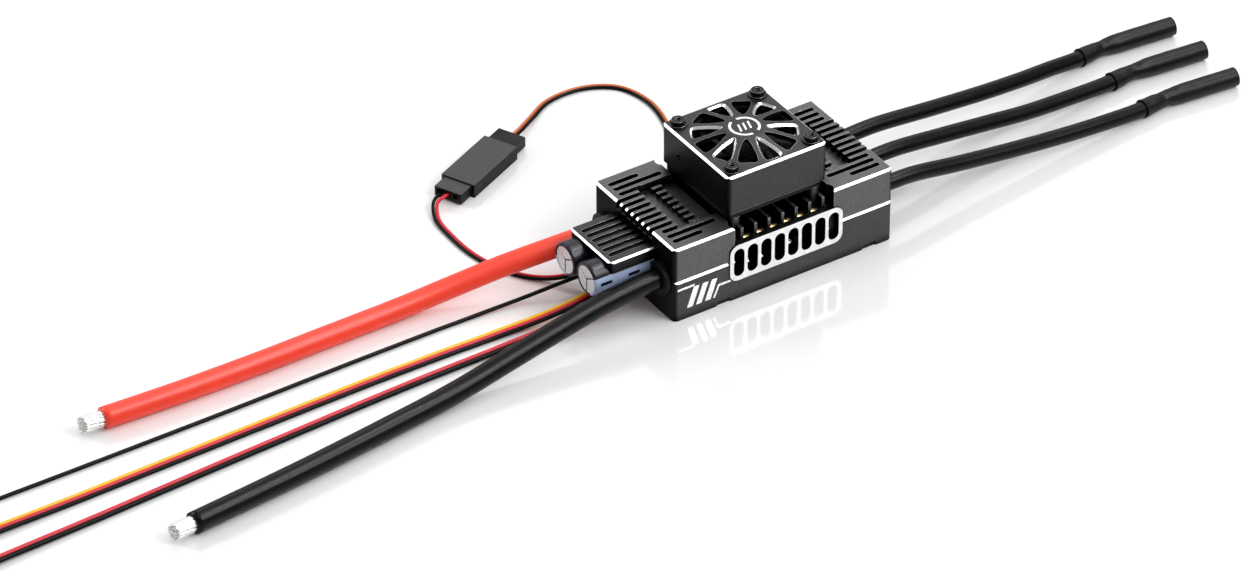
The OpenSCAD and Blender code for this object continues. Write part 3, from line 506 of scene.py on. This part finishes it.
FAN_ROUTE = [(-6, 14.9, 23.7), (-6, 18, 23.7), (-5.9, 21.4, 22.9), (-5.6, 23.6, 19.6), (-5.2, 24.6, 13),
             (-4.4, 25.4, 6.5), (-2.6, 28, 2.4), (1.6, 34, 0.6), (8.4, 46, 0.5), (14.2, 59, 0.5), (15.6, 70, 0.5),
             (12.4, 79.4, 0.5), (4, 84.4, 0.5), (-7, 84.2, 0.5), (-15.4, 79.4, 1), (-21.6, 75.1, 2),
             (-25.4, 73.3, 2)]
SUPPLY_ROUTE = [(-35.3, 7.4, 6.1), (-40, 7.6, 5.7), (-46, 10, 3), (-52, 14.6, 1.1), (-57, 20.6, 0.5),
                (-60.6, 28, 0.5), (-62.4, 36, 0.5), (-62.6, 45, 0.5), (-61.8, 53.4, 0.8), (-58.7, 59, 1.9),
                (-55.1, 60.85, 2)]
TELEMETRY_ROUTE = [(-35.3, 4.6, 6.1), (-40, 4.8, 5.9), (-50, 7, 4.4), (-62, 9.6, 2), (-77, 11.3, 0.7),
                   (-105, 11.6, 0.55), (-150, 11.1, 0.55), (-195, 11, 0.55), (-240, 11.2, 0.55)]
THROTTLE_ROUTE = [(-35.3, -1.2, 6.1), (-40, -1.3, 5.9), (-50, -2, 4.5), (-62, -0.6, 2.3), (-77, 1.2, 0.8),
                  (-105, 1.9, 0.6), (-150, 1.3, 0.6), (-200, 0.3, 0.6), (-244, -0.6, 1.4)]
BEC_ROUTE = [(-35.3, -6, 6.1), (-40, -6.1, 6), (-50, -6.5, 4.8), (-62, -6, 2.6), (-77, -4.8, 1), (-105, -4.9, 0.7),
             (-150, -6.8, 0.7), (-200, -9.4, 0.7), (-248, -12, 1.4)]


def single_lead(name, node, route, diameter, material):
    line = smooth_route(route)
    bm = bmesh.new()
    thick = diameter > 3
    add_tube(bm, line, diameter / 2, sides=28 if thick else 14)
    piece = finish_piece(name, bm, [material], [node])


def flat_lead(name, node, route, wire, pitch, materials,
              spread=0.0, reach=0.0):
    """Insulated wires side by side, the first on the route's left.

    spread is how much wider they stand at the route's end, and reach how far they run on into their plug.
    """
    line = smooth_route(route)
    wires = line + [line[-1] + (line[-1] - line[-2]).normalized() * reach] if reach else line
    total, count = route_length(wires), len(materials)
    spread_over = 4.5
    bm = bmesh.new()
    for k in range(count):
        def shift(run, place=k - (count - 1) / 2):
            return place * (pitch + spread * math.exp(-((total - run) / spread_over) ** 2))

        add_tube(bm, wires, wire / 2, shift, sides=12, index=k)
    piece = finish_piece(name, bm, materials, [node])


def bare_strands(name, node, route):
    """A tinned stranded core: fine wires in a loose twist, cut a little unevenly."""
    length, sunk, core_r = 6.5, 1.5, 2.2
    strand_r, spacing, twist = 0.27, 0.52, 0.05
    dice = random.Random(7)
    line = smooth_route(route)
    end, ahead = line[-1], (line[-1] - line[-3]).normalized()
    matrix = along(ahead, end - ahead * sunk)
    bm = bmesh.new()
    for i in range(-5, 6):
        for j in range(-5, 6):
            x, y = spacing * (i + 0.5 * (j % 2)), spacing * 0.866 * j
            if math.hypot(x, y) > core_r - 0.24:
                continue
            tip = length + sunk + dice.uniform(-0.5, 0.1)
            flare = dice.uniform(0.98, 1.05)
            path = []
            for s in range(9):
                run = tip * s / 8
                cos, sin = math.cos(twist * run), math.sin(twist * run)
                grow = 1 + (flare - 1) * (run / tip) ** 2
                path.append(matrix @ Vector(((x * cos - y * sin) * grow, (x * sin + y * cos) * grow, run)))
            add_tube(bm, path, strand_r, sides=7)
    return finish_piece(name, bm, [TINNED], [node])


def shrink_line(i):
    """A motor sleeve's middle line: along the lead, a soft turn at the neck, then straight to its open end."""
    neck = Vector((*NECKS[i], SOCKET_Z))
    back = Vector((math.cos(SLEEVE_TURN), math.sin(SLEEVE_TURN), 0))
    out = Vector((math.cos(SOCKET_TURN), math.sin(SOCKET_TURN), 0))
    count, blend = 72, 1.6
    total = SLEEVE_BACK + SOCKET_LENGTH
    line = []
    for k in range(count + 1):
        run = total * k / count - SLEEVE_BACK
        soft = 0.5 * (run + math.sqrt(run * run + blend))
        line.append(neck + back * (run - soft) + out * soft)
    return line


def heat_shrink(i, name, node):
    """Shrunk sleeve: flared rim, creased neck where it grips the joint, and a straight end over the socket."""
    seed = Vector((3.1 * i, 1.7 * i, 0))
    floor_gap = 0.02

    def radius(run, angle):
        s = run - SLEEVE_BACK
        rim = 0.22 * math.exp(-run / 0.7)
        neck = 0.36 * math.exp(-((s / 2.6) ** 2))
        swell = 0.18 / (1 + math.exp(-(s - 4.5) / 0.9))
        around = Vector((1.4 * math.cos(angle), 1.4 * math.sin(angle), 0.35 * s)) + seed
        crease = 0.16 * noise.noise(around * 1.3) * (0.25 + math.exp(-((s / 4.5) ** 2)))
        return 2.46 + rim - neck + swell + crease

    line = shrink_line(i)
    bm = bmesh.new()
    rings = add_tube(bm, line, radius, sides=40, caps=False)
    for ring, inner, depth in ((rings[0], 2.2, 1.0), (rings[-1], 2.38, -0.9)):
        middle = sum((v.co for v in ring), Vector()) / len(ring)
        ahead = (line[1] - line[0] if depth > 0 else line[-1] - line[-2]).normalized()
        lip = [bm.verts.new(middle + (v.co - middle) * inner / (v.co - middle).length) for v in ring]
        deep = [bm.verts.new(v.co + ahead * depth) for v in lip]
        join_rings(bm, ring, lip)
        join_rings(bm, lip, deep)
    for v in bm.verts:
        v.co.z = max(v.co.z, floor_gap)
    return finish_piece(name, bm, [SHRINK], [node])


def power_leads():
    strands = bare_strands("positive_core", "positive_strands", POSITIVE_ROUTE)
    single_lead("positive_wire", "positive_lead", POSITIVE_ROUTE, BATTERY_LEAD, RED_SILICONE)
    strands = bare_strands("negative_core", "negative_strands", NEGATIVE_ROUTE)
    single_lead("negative_wire", "negative_lead", NEGATIVE_ROUTE, BATTERY_LEAD, BLACK_SILICONE)
    ahead = Vector((math.cos(SLEEVE_TURN), math.sin(SLEEVE_TURN), 0))
    for i, letter in enumerate("abc"):
        sleeve = heat_shrink(i, f"shrink_{letter}", f"heat_shrink_{letter}")
        neck = Vector((*NECKS[i], SOCKET_Z))
        route = MOTOR_ROUTES[i] + [tuple(neck - ahead * (SLEEVE_BACK + 1)), tuple(neck - ahead * 3)]
        single_lead(f"motor_wire_{letter}", f"motor_lead_{letter}", route, MOTOR_LEAD, BLACK_SILICONE)


def small_leads():
    flat_lead("fan_wires", "fan_lead", FAN_ROUTE, FAN_WIRE, FAN_WIRE, [BLACK_WIRE, ORANGE_WIRE])
    flat_lead("fan_supply_wires", "fan_supply_lead", SUPPLY_ROUTE, FAN_WIRE, FAN_WIRE + 0.02,
              [BLACK_WIRE, RED_WIRE],
              spread=1.5, reach=2.5)
    single_lead("telemetry_wire", "telemetry_lead", TELEMETRY_ROUTE, TELEMETRY_WIRE, BLACK_WIRE)
    flat_lead("throttle_wires", "throttle_lead", THROTTLE_ROUTE, THROTTLE_WIRE, THROTTLE_WIRE,
              [BLACK_WIRE, RED_WIRE, YELLOW_WIRE])
    flat_lead("bec_wires", "bec_lead", BEC_ROUTE, BEC_WIRE, BEC_WIRE, [BLACK_WIRE, RED_WIRE])


# ---- Capacitors ----

CAP_Y, CAP_Z, CAP_END, CAP_LENGTH = 5.1, 12.9, -52.6, 20
CAP_R = 4.7
CAN_R = CAP_R - 0.2
CAN_FACE_R = CAN_R - 0.45
CAP_SIDES = 96
SCORE_DEPTH, SCORE_WIDTH, SCORE_REACH = 0.22, 0.16, 3.8
SCORES = [math.radians(a) for a in (90, 210, 330)]


def score_depth(x, y):
    """How deep the three scored lines of the vent are at a point of the can's end."""
    depth = 0.0
    if math.hypot(x, y) < SCORE_REACH:
        for a in SCORES:
            across = abs(-x * math.sin(a) + y * math.cos(a))
            ahead = x * math.cos(a) + y * math.sin(a)
            if ahead > -0.2:
                depth = max(depth, SCORE_DEPTH * math.exp(-((across / SCORE_WIDTH) ** 2)))
    return depth


def capacitor_can(name, matrix):
    """Bright can with a rounded rim and a slightly hollow, scored end."""
    bm = bmesh.new()
    rim = [(CAN_R, CAP_LENGTH), (CAN_R, 0.5), (CAN_R - 0.12, 0.18), (CAN_FACE_R, 0.02)]
    rings = add_lathe(bm, rim, matrix, CAP_SIDES)
    last = rings[-1]
    rows = 26
    for row in range(1, rows + 1):
        r = CAN_FACE_R * (1 - row / rows)
        ring, scored = [], []
        for k in range(CAP_SIDES if row < rows else 1):
            angle = 2 * math.pi * k / CAP_SIDES
            x, y = r * math.cos(angle), r * math.sin(angle)
            depth = score_depth(x, y)
            ring.append(bm.verts.new(matrix @ Vector((x, y, 0.02 + 0.06 * (1 - r / CAN_R) + depth))))
            scored.append(depth > 0.1)
        for k in range(CAP_SIDES):
            n = (k + 1) % CAP_SIDES
            corners = [last[k], last[n], ring[n % len(ring)], ring[k % len(ring)]]
            face = bm.faces.new(list(dict.fromkeys(corners)))
            face.material_index = 1 if scored[k % len(ring)] else 0
        last = ring
    bm.faces.new(rings[0])
    finish_piece(name, bm, [CAN, MAGNET], ["capacitor_cans"])


def capacitor_sleeve(name, matrix, stripe):
    """Shrink sleeve curled over the can's rim, with a pale stripe that has a row of dashes.

    Angles run from -Y downwards, and stripe is where the stripe starts.
    """
    stripe_width, dash_from, dash_to = 91, 20, 31
    steps, dash_pitch, dash_length = 38, 17, 7
    bm = bmesh.new()
    profile = [(CAP_R - 0.15, CAP_LENGTH), (CAP_R, CAP_LENGTH)]
    profile += [(CAP_R, CAP_LENGTH - 0.5 * k) for k in range(1, steps + 1)]
    profile += [(CAP_R, 0.45), (CAP_R - 0.08, 0.12), (CAP_R - 0.3, -0.08), (CAP_R - 0.65, -0.12),
                (CAP_R - 0.9, -0.03), (CAP_R - 0.85, 0.05), (CAP_R - 0.15, 0.5)]

    def colour(row, k):
        across = ((360 * k / CAP_SIDES + 180) % 360 - 180 - stripe) % 360
        dash = dash_from < across < dash_to and 0 < (steps - row) % dash_pitch <= dash_length
        return 1 if 0 < across < stripe_width and not dash else 0

    add_lathe(bm, profile + [profile[0]], matrix, CAP_SIDES, colour)
    finish_piece(name, bm, [NAVY, STRIPE], ["capacitor_sleeves"])


def capacitor(name, y, stripe):
    lying = Matrix(((0, 0, 1), (-1, 0, 0), (0, -1, 0))).to_4x4()
    matrix = Matrix.Translation((CAP_END, y, CAP_Z)) @ lying
    capacitor_can(name + "_can", matrix)
    capacitor_sleeve(name + "_sleeve", matrix, stripe)


# ---- Fan guard trim and side graphics ----

GUARD_TOP, GUARD_FLAT, GUARD_R, GUARD_RIM = 38.1, 5.2, 14.6, 36.3
# A guard opening's edge as (radius, degrees from its middle), from the hub outwards.
PETAL = [(5.7, 1.2), (6, 4.5), (6.8, 7.6), (8, 10), (9.6, 11.4), (11.4, 12), (13, 11.8), (13.9, 10.8), (14.3, 8)]


def guard_height(r):
    """Height of the guard's dome at a radius."""
    share = min(max((r - GUARD_FLAT) / (GUARD_R - GUARD_FLAT), 0), 1)
    return GUARD_TOP + (GUARD_RIM - GUARD_TOP) * share


def petal_trim():
    """Bright edge cut sloping down into every second guard opening."""
    bm = bmesh.new()
    width, drop, proud = 0.6, 0.6, 0.02
    end = [(PETAL[-1][0], a) for a in (4, 0, -4)]
    loop = PETAL + end + [(r, -a) for r, a in reversed(PETAL)]
    points = [Vector((r * math.cos(math.radians(a)), r * math.sin(math.radians(a)), 0)) for r, a in loop]
    for k in range(6):
        spin = Matrix.Rotation(math.radians(30 + 60 * k), 3, "Z")
        rows = []
        for i, p in enumerate(points):
            ahead = (points[(i + 1) % len(points)] - points[i - 1]).normalized()
            inward = Vector((ahead.y, -ahead.x, 0))
            at_end = len(PETAL) <= i < len(PETAL) + len(end)
            reach = width if at_end else min(width, 0.7 * abs(p.y))
            row = []
            for q, fall in ((p, -proud), (p + inward * reach, drop), (p, drop)):
                q = spin @ q
                row.append(bm.verts.new((q.x, q.y, guard_height(q.xy.length) - fall)))
            rows.append(row)
        for i, row in enumerate(rows):
            before = rows[i - 1]
            for j in range(3):
                bm.faces.new((before[j], before[(j + 1) % 3], row[(j + 1) % 3], row[j]))
    finish_piece("petal_trim", bm, [BRIGHT], smooth=False)


def add_plate(bm, outline, near, far, upright=True):
    """A flat plate: outline is (x, z) points and it lies between two y, or (x, y) points between two z."""
    front, back = ([bm.verts.new((a, level, b) if upright else (a, b, level)) for a, b in outline]
                   for level in (near, far))
    bm.faces.new(front)
    bm.faces.new(back[::-1])
    join_rings(bm, front, back)


def hub_badge():
    """Plain broken ring round three slanted bars, laid into the middle of the guard."""
    outer_r, inner_r = 4.3, 3.55
    levels = (GUARD_TOP - 0.1, GUARD_TOP + 0.06)
    bm = bmesh.new()
    for start in (-60, 120):
        turns = [math.radians(start + 15 * k) for k in range(11)]
        arc = [(outer_r * math.cos(a), outer_r * math.sin(a)) for a in turns]
        arc += [(inner_r * math.cos(a), inner_r * math.sin(a)) for a in reversed(turns)]
        add_plate(bm, arc, *levels, upright=False)
    for x in (-1.5, 0, 1.5):
        bar = [(x - 0.75, -1.5), (x - 0.15, -1.5), (x + 0.75, 1.5), (x + 0.15, 1.5)]
        add_plate(bm, bar, *levels, upright=False)
    finish_piece("hub_badge", bm, [BRIGHT], smooth=False)


def side_stripes():
    """Plain slanted stripes and two thin lines inlaid in the front side wall."""
    depth = (-19.05, -18.9)  # the wall is at y = -19
    bm = bmesh.new()
    for x in (-29.6, -26.8, -24.0):
        add_plate(bm, [(x - 0.9, 3.2), (x + 0.9, 3.2), (x + 3.0, 9.2), (x + 1.2, 9.2)], *depth)
    seam_line = [(-33.4, 9.45), (-28.3, 9.45), (-28.2, 10.05), (-33.4, 10.05)]
    vent_line = [(-22.4, 3.2), (-21.7, 3.2), (-20.4, 6.35), (-16.9, 6.35), (-16.9, 6.95), (-20.8, 6.95)]
    add_plate(bm, seam_line, *depth)
    add_plate(bm, vent_line, *depth)
    finish_piece("side_stripes", bm, [BRIGHT], smooth=False)


def channel_glints():
    """Short machined ledges that lean back between the channel fins and catch the light through the vents."""
    slots, slot_pitch, first_y, thick = 8, 4.26, 17.2, 0.15
    dice = random.Random(11)
    bm = bmesh.new()
    for side in (-1, 1):
        for k in range(slots):
            middle = 0.5 + (k - (slots - 1) / 2) * slot_pitch + dice.uniform(-0.8, 0.5)
            half, low, tall = dice.uniform(0.3, 0.7), dice.uniform(8.6, 10.4), dice.uniform(0.5, 0.9)
            left, right, last_y = middle - half, middle + half, first_y - tall
            near = [(left, first_y, low), (right, first_y, low), (right, last_y, low + tall),
                    (left, last_y, low + tall)]
            front = [bm.verts.new((x, side * y, z)) for x, y, z in near]
            back = [bm.verts.new((x, side * (y - thick), z - thick)) for x, y, z in near]
            bm.faces.new(front)
            bm.faces.new(back[::-1])
            join_rings(bm, front, back)
    finish_piece("channel_glints", bm, [BRIGHT], smooth=False)


def main():
    camera()
    studio()
    lay_floor()
    power_leads()
    small_leads()
    capacitor("capacitor_front", -CAP_Y, -29)
    capacitor("capacitor_rear", CAP_Y, 75)
    petal_trim()
    hub_badge()
    side_stripes()
    channel_glints()
    for node, material in PAINT.items():
        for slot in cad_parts[node].material_slots:
            slot.material = material


main()
